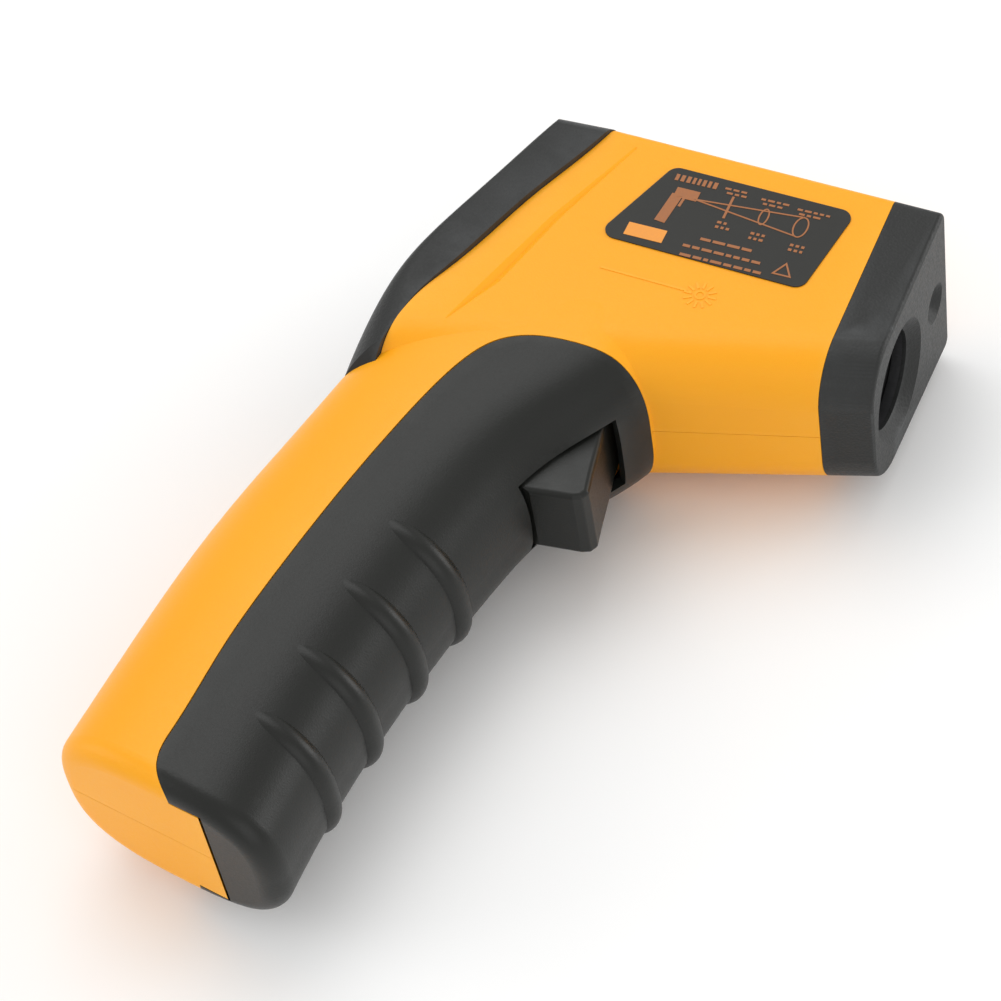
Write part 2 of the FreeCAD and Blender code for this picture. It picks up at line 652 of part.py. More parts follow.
def boardChips():
    chips = [
        Part.makeBox(10.0, 10.0, 1.6, V(-5.0, 4.0, -11.2)),
        Part.makeBox(5.0, 4.0, 1.4, V(-12.5, -6.0, -11.0)),
        Part.makeBox(5.0, 4.0, 1.4, V(7.0, -6.0, -11.0)),
        Part.makeCylinder(2.0, 5.0, V(11.0, 16.0, -14.6)),
    ]
    return Part.makeCompound([panelPlace(c) for c in chips])


def boardScrews():
    screws = []
    for x in (-13.8, 13.8):
        shank = Part.makeCylinder(1.0, 8.2, V(x, -20.0, -10.4))
        head = Part.makeCylinder(1.8, 1.0, V(x, -20.0, -10.6))
        screws.append(panelPlace(shank.fuse(head)))
    return Part.makeCompound(screws)


def keypadSheet():
    sheet = roundedBox(15.2, -16.5, -5.5, -7.9, -6.4, 1.0)
    for x in KEY_X:
        sheet = sheet.cut(Part.makeCylinder(2.4, 4.0, V(x, KEY_Y, -9.0)))
    return panelPlace(sheet)


def keyCap(x):
    cap = roundedBox(KEY_HALF[0], -KEY_HALF[1], KEY_HALF[1], -4.0, 1.2, 2.4)
    rim = [e for e in cap.Edges if e.BoundBox.ZMin > 1.1]
    cap = tryFillet(cap, 0.7, rim)
    skirt = roundedBox(KEY_HALF[0] + 0.9, -KEY_HALF[1] - 0.9, KEY_HALF[1] + 0.9, -4.6, -3.6, 2.6)
    cap = cap.fuse(skirt).fuse(Part.makeCylinder(1.9, 2.4, V(0, 0, -6.9)))
    cap.translate(V(x, KEY_Y, 0))
    return panelPlace(cap)


# ---- Trigger and switch ----

def trigger():
    outline = [
        (-50.6, -23.2), (-44.8, -22.4), (-42.9, -24.4), (-42.2, -29.2), (-41.2, -34.0), (-40.1, -40.0),
        (-39.2, -44.2), (-39.9, -45.6), (-41.4, -46.2), (-49.0, -46.9), (-52.2, -46.2), (-52.6, -40.0), (-51.4, -30.0),
    ]
    block = slab(outline, -TRIGGER_HALF, TRIGGER_HALF)
    sides = [e for e in block.Edges if e.BoundBox.ZLength < 0.01]
    face = [e for e in sides if e.BoundBox.XMin > -49.1 and e.BoundBox.YMax < -28.0]
    block = tryFillet(block, 1.0, face)
    front = [e for e in block.Edges if abs(e.BoundBox.ZLength - 2 * TRIGGER_HALF) < 2.5
             and e.BoundBox.XMin > -42.0
             and e.BoundBox.YMax < -40.0]
    block = tryFillet(block, 0.6, front)
    hollow = slab([(-53.5, -44.6), (-44.0, -44.6), (-43.6, -31.5), (-53.5, -31.5)], -TRIGGER_HALF + 1.8,
                  TRIGGER_HALF - 1.8)
    block = block.cut(hollow)
    seat = rod(V(-51.0, SPRING_Y, 0), V(1, 0, 0), 1.5, 8.0)
    seat = seat.fuse(rod(V(SPRING_FROM, SPRING_Y, 0), V(1, 0, 0), 3.0, 4.0))
    plunger = box(-52.4, -43.0, STEM_Y - 1.0, STEM_Y + 1.0, -1.6, 1.6)
    block = block.fuse(seat).fuse(plunger)
    bore = rod(V(TRIGGER_PIVOT.x, TRIGGER_PIVOT.y, -12.0), V(0, 0, 1), TRIGGER_PIN_R + BORE_SLACK, 24.0)
    return block.cut(bore)


def triggerPin():
    return rod(V(TRIGGER_PIVOT.x, TRIGGER_PIVOT.y, -CHEEK_OUT), V(0, 0, 1), TRIGGER_PIN_R, 2 * CHEEK_OUT)


def triggerSpring():
    """A coil spring from the shoulder on the trigger's seat back to the switch holder."""
    turns = 9.0
    radius = 2.3
    wire_r = 0.3
    pitch = (SPRING_LENGTH - 2 * wire_r) / turns
    helix = Part.makeHelix(pitch, pitch * turns, radius)
    path = Part.Wire(helix.Edges)
    ring = Part.Wire([Part.makeCircle(wire_r, V(radius, 0, 0), V(0, 1, 0))])
    coil = path.makePipeShell([ring], True, True)
    coil.rotate(V(0, 0, 0), V(0, 1, 0), -90)
    coil.translate(V(SPRING_FROM - wire_r, SPRING_Y, 0))
    return coil


def switchBody():
    block = box(-61.4, -57.6, STEM_Y - 3.0, STEM_Y + 3.0, -3.0, 3.0)
    block = block.cut(rod(V(STEM_AT - STEM_ROOM, STEM_Y, 0), V(1, 0, 0), STEM_R + GAP, 10.0))
    board = box(-63.0, -61.4, -43.5, -28.0, -8.4, 8.4)
    post = box(-64.2, -63.0, -43.5, -28.0, -8.4, 8.4)
    return block.fuse(board), post


def switchStem():
    x = STEM_AT
    return rod(V(x, STEM_Y, 0), V(1, 0, 0), STEM_R, STEM_LENGTH)


# ---- Battery, leads, label ----

def battery():
    length, height, thick = BATTERY
    x, y = BATTERY_AT
    block = box(x, x + length, y, y + height - 2.8, -thick / 2, thick / 2)
    uprights = [e for e in block.Edges if abs(e.BoundBox.YLength - height + 2.8) < 0.01]
    block = block.makeFillet(3.0, uprights)
    top = y + height - 2.8
    stud = rod(V(x + 7.0, top - 0.1, 0), V(0, 1, 0), 2.7, 2.9)
    socket = rod(V(x + 19.5, top - 0.1, 0), V(0, 1, 0), 3.9, 2.9)
    return block.fuse(stud).fuse(socket)


def batterySnap():
    x, y = BATTERY_AT
    top = y + BATTERY[1] - 2.8
    plate = box(x + 1.0, x + 25.5, top + 0.4, top + 4.6, -5.4, 5.4)
    plate = plate.cut(rod(V(x + 7.0, top - 1.0, 0), V(0, 1, 0), 2.9, 3.9))
    return plate.cut(rod(V(x + 19.5, top - 1.0, 0), V(0, 1, 0), 4.1, 3.9))


def batteryPad():
    x, y = BATTERY_AT
    return box(x - 1.6, x - 0.1, y + 6.0, y + 36.0, -7.0, 7.0)


def lead(points, radius):
    """A round lead along straight runs joined by tangent arcs, closed by flat ends."""
    edges = []
    start = points[0]
    for before, at, after in zip(points, points[1:], points[2:]):
        a = (before - at)
        b = (after - at)
        shorter = min(a.Length, b.Length)
        turn = math.pi - a.getAngle(b)
        arc_r = 0.45 * shorter / math.tan(turn / 2)
        a.normalize()
        b.normalize()
        t1 = at + a * (0.45 * shorter)
        t2 = at + b * (0.45 * shorter)
        centre = at + (a + b).normalize() * (arc_r / math.cos(turn / 2))
        middle = centre + (at - centre).normalize() * arc_r
        edges.append(Part.makeLine(start, t1))
        edges.append(Part.Arc(t1, middle, t2).toShape())
        start = t2
    edges.append(Part.makeLine(start, points[-1]))
    path = Part.Wire(edges)
    direction = points[1] - points[0]
    ring = Part.Wire([Part.makeCircle(radius, points[0], direction)])
    return path.makePipeShell([ring], True, True)


def batteryLead(z):
    """From the snap up behind the trigger to the main board's foot."""
    x, y = BATTERY_AT
    top = y + BATTERY[1] + 1.8
    route = [V(x + 12.5, top, z), V(x + 13.0, top + 9.0, z), V(x + 11.0, top + 20.0, z * 1.4),
             V(x + 14.0, top + 32.0, z * 1.6), V(x + 15.2, top + 42.6, z * 1.4)]
    return lead(route, 0.7)


def laserLead(z):
    route = [V(-22.5, LASER_Y, z), V(-31.0, LASER_Y - 0.4, z), V(-41.0, LASER_Y - 2.4, z * 1.6),
             V(-51.0, LASER_Y - 4.0, z * 2.0), V(-57.0, LASER_Y - 8.0, z * 2.0), V(-60.6, LASER_Y - 13.0, z * 2.0)]
    return lead(route, 0.45)


def sensorLead(z):
    x = BARREL_TO - 3.0
    route = [V(x, -4.5, z), V(x - 6.0, -4.8, z), V(x - 14.0, -3.0, z * 1.1), V(x - 22.9, -1.0, z)]
    return lead(route, 0.45)


def sideLabel():
    """The label follows the flank: a thin plate cut from a slightly larger head."""
    outer = headForm(-LABEL_THICK)
    under = headForm(-0.03)
    plate = slab(LABEL, 5.0, 30.0)
    uprights = [e for e in plate.Edges if e.BoundBox.ZLength > 20.0]
    plate = plate.makeFillet(2.2, uprights)
    return plate.common(outer).cut(under)


def build():
    os.makedirs("parts", exist_ok=True)
    outer = bodyForm(0.0)
    inner = bodyForm(WALL)
    body = shellBody(outer, inner)
    right = housingHalf(body, 1)
    left = housingHalf(body, -1)
    bezel = rearBezel(inner)
    nose = noseCap(outer, inner)
    save("right_housing", right.cut(bezel))
    save("left_housing", left.cut(bezel))
    save("rear_bezel", bezel)
    save("nose_cap", nose)
    save("housing_screws", housingScrews())
    save("side_label", sideLabel())
    save("battery_door", batteryDoor(outer, inner))
    save("door_hinge_pin", hingePin())
    save("trigger", trigger())
    save("trigger_pin", triggerPin())
    save("trigger_spring", triggerSpring())
    switch, post = switchBody()
    save("switch_body", switch)
    save("switch_holder", post)
    save("switch_stem", switchStem())
    save("sensor_barrel", sensorBarrel())
    save("fresnel_lens", fresnelLens())
    save("lens_ring", lensRing())
    save("thermopile_sensor", thermopile())
    save("sensor_board", sensorBoard())
    save("laser_module", laserModule())
    save("laser_lens", laserLens())
    save("display_window", displayWindow())
    save("lcd_glass", lcdGlass())
    save("lcd_frame", lcdFrame())
    save("zebra_strips", zebraStrips())
    save("main_board", mainBoard())
    save("board_chips", boardChips())
    save("board_screws", boardScrews())
    save("keypad_sheet", keypadSheet())
    for name, x in zip(("key_left", "key_centre", "key_right"), KEY_X):
        save(name, keyCap(x))
    save("battery_9v", battery())
    save("battery_snap", batterySnap())
    save("battery_pad", batteryPad())
    save("red_lead", batteryLead(1.6))
    save("black_lead", batteryLead(-1.6))
    save("laser_leads", Part.makeCompound([laserLead(0.9), laserLead(-0.9)]))
    save("sensor_leads", Part.makeCompound([sensorLead(z) for z in (-3.0, 0.0, 3.0)]))


build()
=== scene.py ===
import math
import random

import bpy
from mathutils import Euler, Matrix, Vector


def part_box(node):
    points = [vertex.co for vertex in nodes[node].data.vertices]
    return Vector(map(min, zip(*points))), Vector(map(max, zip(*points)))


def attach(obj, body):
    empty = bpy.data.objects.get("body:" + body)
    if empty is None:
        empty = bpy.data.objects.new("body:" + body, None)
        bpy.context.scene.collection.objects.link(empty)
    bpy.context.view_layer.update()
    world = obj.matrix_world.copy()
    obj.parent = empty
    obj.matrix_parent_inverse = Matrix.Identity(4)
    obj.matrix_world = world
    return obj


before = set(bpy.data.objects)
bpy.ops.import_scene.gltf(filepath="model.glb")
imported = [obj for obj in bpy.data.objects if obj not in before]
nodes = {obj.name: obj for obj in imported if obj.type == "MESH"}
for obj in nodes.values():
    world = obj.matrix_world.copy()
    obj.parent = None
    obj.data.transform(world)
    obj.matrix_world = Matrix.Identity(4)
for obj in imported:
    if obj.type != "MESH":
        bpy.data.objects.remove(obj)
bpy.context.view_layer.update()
random.seed(12)

mm = 0.001
# The instrument's own frame: x = 0 on the nose face, y = 0 at the bore's centre, z = 0 on the parting plane.
bodyShift = Vector((50.658, 49.667, 20.2)) * mm


def at(x, y, z=0.0):
    return Vector((x, y, z)) * mm + bodyShift


camera = dict(
    place=(0.17209, -0.27694, 0.40735),
    around=32.22,
    above=49.3,
    roll=-11.64,
    lens=107.9,
    sensor=36.0,
)

studio = dict(
    floorSize=3.0,
    floorColour=(0.97, 0.97, 0.965),
    skyColour=(1.0, 1.0, 1.0),
    skyStrength=0.72,
    lights=[
        dict(name="keySoftbox", place=(-0.20, 0.22, 0.62), aim=(0.0, -0.01, 0.02), size=0.50, power=1.35),
        dict(name="fillSoftbox", place=(0.45, -0.55, 0.38), aim=(0.01, 0.0, 0.02), size=0.60, power=0.9),
        dict(name="rimStrip", place=(-0.55, -0.25, 0.30), aim=(-0.02, -0.03, 0.02), size=0.30, power=0.5),
        dict(name="noseSoftbox", place=(0.55, 0.45, 0.20), aim=(0.05, 0.05, 0.02), size=0.40, power=1.5),
    ],
)


def clearSelection():
    bpy.ops.object.select_all(action="DESELECT")


def placeCamera():
    bpy.ops.object.camera_add(location=camera["place"])
    eye = bpy.context.object
    eye.name = "photoCamera"
    level = Euler((math.radians(90 - camera["above"]), 0, math.radians(camera["around"]))).to_matrix()
    tilt = Matrix.Rotation(math.radians(camera["roll"]), 3, "Z")
    eye.rotation_euler = (level @ tilt).to_euler()
    eye.data.lens = camera["lens"]
    eye.data.sensor_width = camera["sensor"]
    eye.data.clip_start = 0.01
    bpy.context.scene.camera = eye


def placeStudio():
    clearSelection()
    bpy.ops.mesh.primitive_plane_add(size=studio["floorSize"], location=(0, 0, 0))
    floor = bpy.context.object
    floor.name = "studioFloor"
    paint = bpy.data.materials.new("floorPaint")
    paint.use_nodes = True
    shader = paint.node_tree.nodes["Principled BSDF"]
    shader.inputs["Base Color"].default_value = (*studio["floorColour"], 1)
    shader.inputs["Roughness"].default_value = 0.9
    shader.inputs["Specular IOR Level"].default_value = 0.1
    floor.data.materials.append(paint)
    world = bpy.context.scene.world or bpy.data.worlds.new("studioWorld")
    bpy.context.scene.world = world
    world.use_nodes = True
    sky = world.node_tree.nodes["Background"]
    sky.inputs["Color"].default_value = (*studio["skyColour"], 1)
    sky.inputs["Strength"].default_value = studio["skyStrength"]
    for box in studio["lights"]:
        bpy.ops.object.light_add(type="AREA", location=box["place"])
        lamp = bpy.context.object
        lamp.name = box["name"]
        lamp.data.size = box["size"]
        lamp.data.energy = box["power"]
        aim = Vector(box["aim"]) - Vector(box["place"])
        lamp.rotation_euler = aim.to_track_quat("-Z", "Y").to_euler()
    bpy.context.scene.view_settings.view_transform = "Standard"


placeCamera()
placeStudio()
print("stage: camera and studio")


def tone(red, green, blue):
    out = []
    for value in (red, green, blue):
        value /= 255
        out.append(value / 12.92 if value <= 0.04045 else ((value + 0.055) / 1.055) ** 2.4)
    return (*out, 1.0)


def addSocket(tree, name, direction, kind, value=None):
    socket = tree.interface.new_socket(name=name, in_out=direction, socket_type=kind)
    if value is not None:
        socket.default_value = value


def mouldGrainGroup():
    # Fine spark-eroded grain and slow colour drift of a moulded part.
    tree = bpy.data.node_groups.new("mouldGrain", "ShaderNodeTree")
    addSocket(tree, "Grain Scale", "INPUT", "NodeSocketFloat", 3000.0)
    addSocket(tree, "Drift Scale", "INPUT", "NodeSocketFloat", 25.0)
    addSocket(tree, "Height", "OUTPUT", "NodeSocketFloat")
    addSocket(tree, "Drift", "OUTPUT", "NodeSocketFloat")
    addSocket(tree, "Speckle", "OUTPUT", "NodeSocketFloat")
    inside = tree.nodes.new("NodeGroupInput")
    outside = tree.nodes.new("NodeGroupOutput")
    place = tree.nodes.new("ShaderNodeTexCoord")
    fine = tree.nodes.new("ShaderNodeTexNoise")
    fine.inputs["Detail"].default_value = 3.0
    fine.inputs["Roughness"].default_value = 0.6
    pits = tree.nodes.new("ShaderNodeTexVoronoi")
    pits.feature = "SMOOTH_F1"
    pits.inputs["Smoothness"].default_value = 0.6
    slow = tree.nodes.new("ShaderNodeTexNoise")
    slow.inputs["Detail"].default_value = 4.0
    total = tree.nodes.new("ShaderNodeMath")
    total.operation = "MULTIPLY_ADD"
    total.inputs[1].default_value = 0.6
    link = tree.links.new
    for texture in (fine, pits, slow):
        link(place.outputs["Object"], texture.inputs["Vector"])
    link(inside.outputs["Grain Scale"], fine.inputs["Scale"])
    link(inside.outputs["Grain Scale"], pits.inputs["Scale"])
    link(inside.outputs["Drift Scale"], slow.inputs["Scale"])
    link(fine.outputs["Fac"], total.inputs[0])
    link(pits.outputs["Distance"], total.inputs[2])
    link(total.outputs[0], outside.inputs["Height"])
    link(slow.outputs["Fac"], outside.inputs["Drift"])
    link(fine.outputs["Fac"], outside.inputs["Speckle"])
    return tree


def edgeWearGroup():
    # A mask that is 1 on worn outer edges, broken up by noise.
    tree = bpy.data.node_groups.new("edgeWear", "ShaderNodeTree")
    addSocket(tree, "Amount", "INPUT", "NodeSocketFloat", 0.5)
    addSocket(tree, "Mask", "OUTPUT", "NodeSocketFloat")
    inside = tree.nodes.new("NodeGroupInput")
    outside = tree.nodes.new("NodeGroupOutput")
    shape = tree.nodes.new("ShaderNodeNewGeometry")
    ramp = tree.nodes.new("ShaderNodeMapRange")
    ramp.inputs["From Min"].default_value = 0.53
    ramp.inputs["From Max"].default_value = 0.62
    place = tree.nodes.new("ShaderNodeTexCoord")
    noise = tree.nodes.new("ShaderNodeTexNoise")
    noise.inputs["Scale"].default_value = 260.0
    noise.inputs["Detail"].default_value = 5.0
    broken = tree.nodes.new("ShaderNodeMath")
    broken.operation = "MULTIPLY"
    scaled = tree.nodes.new("ShaderNodeMath")
    scaled.operation = "MULTIPLY"
    link = tree.links.new
    link(shape.outputs["Pointiness"], ramp.inputs["Value"])
    link(place.outputs["Object"], noise.inputs["Vector"])
    link(ramp.outputs["Result"], broken.inputs[0])
    link(noise.outputs["Fac"], broken.inputs[1])
    link(broken.outputs[0], scaled.inputs[0])
    link(inside.outputs["Amount"], scaled.inputs[1])
    link(scaled.outputs[0], outside.inputs["Mask"])
    return tree


mouldGrain = mouldGrainGroup()
edgeWear = edgeWearGroup()


def newMaterial(name):
    material = bpy.data.materials.new(name)
    material.use_nodes = True
    return material, material.node_tree, material.node_tree.nodes["Principled BSDF"]


def groupNode(tree, group, **values):
    node = tree.nodes.new("ShaderNodeGroup")
    node.node_tree = group
    for name, value in values.items():
        node.inputs[name].default_value = value
    return node


def mixColours(tree, factor, first, second, low=0.0, high=1.0):
    spread = tree.nodes.new("ShaderNodeMapRange")
    spread.inputs["To Min"].default_value = low
    spread.inputs["To Max"].default_value = high
    tree.links.new(factor, spread.inputs["Value"])
    mix = tree.nodes.new("ShaderNodeMix")
    mix.data_type = "RGBA"
    tree.links.new(spread.outputs["Result"], mix.inputs["Factor"])
    for socket, value in ((mix.inputs["A"], first), (mix.inputs["B"], second)):
        if isinstance(value, bpy.types.NodeSocket):
            tree.links.new(value, socket)
        else:
            socket.default_value = value
    return mix.outputs["Result"]


def spreadValue(tree, value, low, high, fromLow=0.3, fromHigh=0.7):
    node = tree.nodes.new("ShaderNodeMapRange")
    node.inputs["From Min"].default_value = fromLow
    node.inputs["From Max"].default_value = fromHigh
    node.inputs["To Min"].default_value = low
    node.inputs["To Max"].default_value = high
    tree.links.new(value, node.inputs["Value"])
    return node.outputs["Result"]


def mouldedPlastic(name, look):
    # One recipe for every moulded part: drifting colour, grain in the height and roughness, worn edges.
    material, tree, shader = newMaterial(name)
    grain = groupNode(tree, mouldGrain, **{"Grain Scale": look["grain"], "Drift Scale": look["drift"]})
    wear = groupNode(tree, edgeWear, Amount=look["wear"])
    base = mixColours(tree, grain.outputs["Drift"], look["colour"], look["shade"])
    colour = mixColours(tree, wear.outputs["Mask"], base, look["worn"])
    tree.links.new(colour, shader.inputs["Base Color"])
    rough = spreadValue(tree, grain.outputs["Speckle"], *look["rough"])
    tree.links.new(rough, shader.inputs["Roughness"])
    bump = tree.nodes.new("ShaderNodeBump")
    bump.inputs["Strength"].default_value = look["bump"]
    bump.inputs["Distance"].default_value = look["depth"]
    tree.links.new(grain.outputs["Height"], bump.inputs["Height"])
    tree.links.new(bump.outputs["Normal"], shader.inputs["Normal"])
    shader.inputs["IOR"].default_value = look.get("ior", 1.5)
    shader.inputs["Specular IOR Level"].default_value = look.get("gloss", 0.5)
    shader.inputs["Coat Weight"].default_value = look.get("coat", 0.0)
    shader.inputs["Coat Roughness"].default_value = 0.25
    shader.inputs["Subsurface Weight"].default_value = look.get("soft", 0.0)
    shader.inputs["Subsurface Scale"].default_value = 0.002
    return material


looks = dict(
    shellYellow=dict(colour=tone(252, 172, 24), shade=tone(248, 164, 16), worn=tone(255, 196, 84), wear=0.3,
                     grain=2600, drift=18, rough=(0.34, 0.46), bump=0.20, depth=0.00006,
                     soft=0.04, gloss=0.3),
    noseDark=dict(colour=tone(36, 37, 36), shade=tone(31, 32, 31), worn=tone(88, 90, 91), wear=0.5,
                  grain=2200, drift=30, rough=(0.42, 0.56), bump=0.45, depth=0.00010, gloss=0.35),
    gripDark=dict(colour=tone(26, 27, 24), shade=tone(22, 23, 20), worn=tone(74, 76, 74), wear=0.4,
                  grain=3200, drift=22, rough=(0.32, 0.42), bump=0.18, depth=0.00006, gloss=0.35),
    innerBlack=dict(colour=tone(30, 30, 31), shade=tone(24, 24, 25), worn=tone(60, 60, 60), wear=0.3,
                    grain=1800, drift=40, rough=(0.5, 0.65), bump=0.3, depth=0.00008),
    barrelBlack=dict(colour=tone(20, 20, 21), shade=tone(13, 13, 14), worn=tone(70, 70, 72), wear=0.6,
                     grain=1500, drift=50, rough=(0.45, 0.6), bump=0.3, depth=0.00008),
    keyRubber=dict(colour=tone(96, 98, 100), shade=tone(88, 90, 92), worn=tone(120, 122, 124), wear=0.3,
                   grain=2600, drift=35, rough=(0.55, 0.7), bump=0.25, depth=0.00006),
    labelFilm=dict(colour=tone(43, 43, 40), shade=tone(39, 39, 36), worn=tone(70, 70, 66), wear=0.1,
                   grain=4200, drift=20, rough=(0.42, 0.52), bump=0.12, depth=0.00004, gloss=0.3),
    chipBlack=dict(colour=tone(26, 27, 28), shade=tone(21, 22, 23), worn=tone(70, 70, 70), wear=0.3,
                   grain=3000, drift=60, rough=(0.45, 0.6), bump=0.3, depth=0.00006),
    zebraRubber=dict(colour=tone(120, 88, 96), shade=tone(60, 48, 52), worn=tone(140, 110, 118), wear=0.1,
                     grain=1600, drift=700, rough=(0.6, 0.75), bump=0.2, depth=0.00006),
    foamGrey=dict(colour=tone(58, 58, 60), shade=tone(40, 40, 42), worn=tone(84, 84, 86), wear=0.1,
                  grain=900, drift=120, rough=(0.85, 0.95), bump=0.8, depth=0.00030),
    wireRed=dict(colour=tone(190, 24, 18), shade=tone(170, 18, 14), worn=tone(214, 60, 50), wear=0.1,
                 grain=1500, drift=80, rough=(0.3, 0.42), bump=0.1, depth=0.00004),
    wireBlack=dict(colour=tone(28, 28, 29), shade=tone(20, 20, 21), worn=tone(60, 60, 60), wear=0.1,
                   grain=1500, drift=80, rough=(0.3, 0.42), bump=0.1, depth=0.00004),
    wireGrey=dict(colour=tone(150, 150, 152), shade=tone(132, 132, 134), worn=tone(180, 180, 180), wear=0.1,
                  grain=1500, drift=80, rough=(0.32, 0.45), bump=0.1, depth=0.00004),
    lensMilky=dict(colour=tone(118, 122, 128), shade=tone(104, 108, 114), worn=tone(150, 152, 156), wear=0.1,
                   grain=800, drift=90, rough=(0.28, 0.36), bump=0.1, depth=0.00004),
    boardGreen=dict(colour=tone(22, 96, 48), shade=tone(14, 74, 36), worn=tone(150, 140, 90), wear=0.4,
                    grain=1400, drift=500, rough=(0.25, 0.38), bump=0.2, depth=0.00005, coat=0.3),
)


def bareMetal(name, colour, dark, rough, grain):
    # Drawn or turned metal: fine streaks in roughness and height.
    material, tree, shader = newMaterial(name)
    place = tree.nodes.new("ShaderNodeTexCoord")
    stretch = tree.nodes.new("ShaderNodeMapping")
    stretch.inputs["Scale"].default_value = (0.2, 1.0, 1.0)
    streak = tree.nodes.new("ShaderNodeTexNoise")
    streak.inputs["Scale"].default_value = grain
    streak.inputs["Detail"].default_value = 4.0
    tree.links.new(place.outputs["Object"], stretch.inputs["Vector"])
    tree.links.new(stretch.outputs["Vector"], streak.inputs["Vector"])
    tree.links.new(mixColours(tree, streak.outputs["Fac"], dark, colour), shader.inputs["Base Color"])
    tree.links.new(spreadValue(tree, streak.outputs["Fac"], *rough), shader.inputs["Roughness"])
    bump = tree.nodes.new("ShaderNodeBump")
    bump.inputs["Strength"].default_value = 0.15
    bump.inputs["Distance"].default_value = 0.00003
    tree.links.new(streak.outputs["Fac"], bump.inputs["Height"])
    tree.links.new(bump.outputs["Normal"], shader.inputs["Normal"])
    shader.inputs["Metallic"].default_value = 1.0
    return material


def clearPlastic(name, tint, rough, through):
    # Clear acrylic or glass with a faint haze of fine scratches.
    material, tree, shader = newMaterial(name)
    place = tree.nodes.new("ShaderNodeTexCoord")
    haze = tree.nodes.new("ShaderNodeTexNoise")
    haze.inputs["Scale"].default_value = 400.0
    haze.inputs["Detail"].default_value = 6.0
    tree.links.new(place.outputs["Object"], haze.inputs["Vector"])
    hazy = spreadValue(tree, haze.outputs["Fac"], rough * 0.6, rough * 1.6)
    tree.links.new(hazy, shader.inputs["Roughness"])
    paler = tuple(min(1.0, c * 1.06) for c in tint[:3]) + (1.0,)
    tree.links.new(mixColours(tree, haze.outputs["Fac"], tint, paler), shader.inputs["Base Color"])
    shader.inputs["Transmission Weight"].default_value = through
    shader.inputs["IOR"].default_value = 1.49
    return material


def printInk(name, colour, shade):
    # Screen-printed ink with slightly uneven cover.
    material, tree, shader = newMaterial(name)
    place = tree.nodes.new("ShaderNodeTexCoord")
    cover = tree.nodes.new("ShaderNodeTexNoise")
    cover.inputs["Scale"].default_value = 1800.0
    cover.inputs["Detail"].default_value = 3.0
    tree.links.new(place.outputs["Object"], cover.inputs["Vector"])
    tree.links.new(mixColours(tree, cover.outputs["Fac"], shade, colour), shader.inputs["Base Color"])
    tree.links.new(spreadValue(tree, cover.outputs["Fac"], 0.45, 0.6), shader.inputs["Roughness"])
    return material


def batteryJacket():
    # Dark jacket with a copper band at the contact end, above bandFrom.
    material, tree, shader = newMaterial("batteryJacket")
    low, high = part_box("battery_9v")
    place = tree.nodes.new("ShaderNodeTexCoord")
    split = tree.nodes.new("ShaderNodeSeparateXYZ")
    tree.links.new(place.outputs["Object"], split.inputs["Vector"])
    bandFrom = high.y - 0.0148
    bandFull = high.y - 0.0146
    band = spreadValue(tree, split.outputs["Y"], 0.0, 1.0, bandFrom, bandFull)
    noise = tree.nodes.new("ShaderNodeTexNoise")
    noise.inputs["Scale"].default_value = 300.0
    tree.links.new(place.outputs["Object"], noise.inputs["Vector"])
    dark = mixColours(tree, noise.outputs["Fac"], tone(30, 32, 38), tone(38, 40, 46))
    colour = mixColours(tree, band, dark, tone(196, 120, 60))
    tree.links.new(colour, shader.inputs["Base Color"])
    tree.links.new(spreadValue(tree, noise.outputs["Fac"], 0.22, 0.34), shader.inputs["Roughness"])
    tree.links.new(spreadValue(tree, band, 0.15, 0.7, 0.0, 1.0), shader.inputs["Metallic"])
    return material


finishes = {name: mouldedPlastic(name, look) for name, look in looks.items()}
finishes["screwSteel"] = bareMetal("screwSteel", tone(190, 191, 192), tone(150, 151, 153), (0.25, 0.4), 900)
finishes["pinSteel"] = bareMetal("pinSteel", tone(205, 205, 206), tone(170, 170, 172), (0.16, 0.28), 1200)
finishes["springSteel"] = bareMetal("springSteel", tone(168, 168, 170), tone(128, 128, 130),
                                    (0.2, 0.34), 1500)
finishes["sensorCan"] = bareMetal("sensorCan", tone(205, 200, 186), tone(176, 170, 156), (0.2, 0.32), 800)
finishes["laserBrass"] = bareMetal("laserBrass", tone(212, 172, 96), tone(176, 138, 70), (0.22, 0.36), 700)
finishes["laserGlass"] = clearPlastic("laserGlass", (0.86, 0.9, 0.95, 1), 0.05, 0.9)
finishes["windowClear"] = clearPlastic("windowClear", (0.95, 0.96, 0.96, 1), 0.04, 1.0)
finishes["lcdGlass"] = clearPlastic("lcdGlass", tone(146, 156, 136), 0.18, 0.0)
finishes["batteryJacket"] = batteryJacket()
finishes["labelInk"] = printInk("labelInk", tone(172, 106, 58), tone(148, 92, 50))
finishes["signInk"] = printInk("signInk", tone(240, 158, 62), tone(228, 146, 52))
finishes["segmentInk"] = printInk("segmentInk", tone(118, 128, 110), tone(112, 122, 104))
finishes["keyInk"] = printInk("keyInk", tone(226, 228, 228), tone(206, 208, 208))

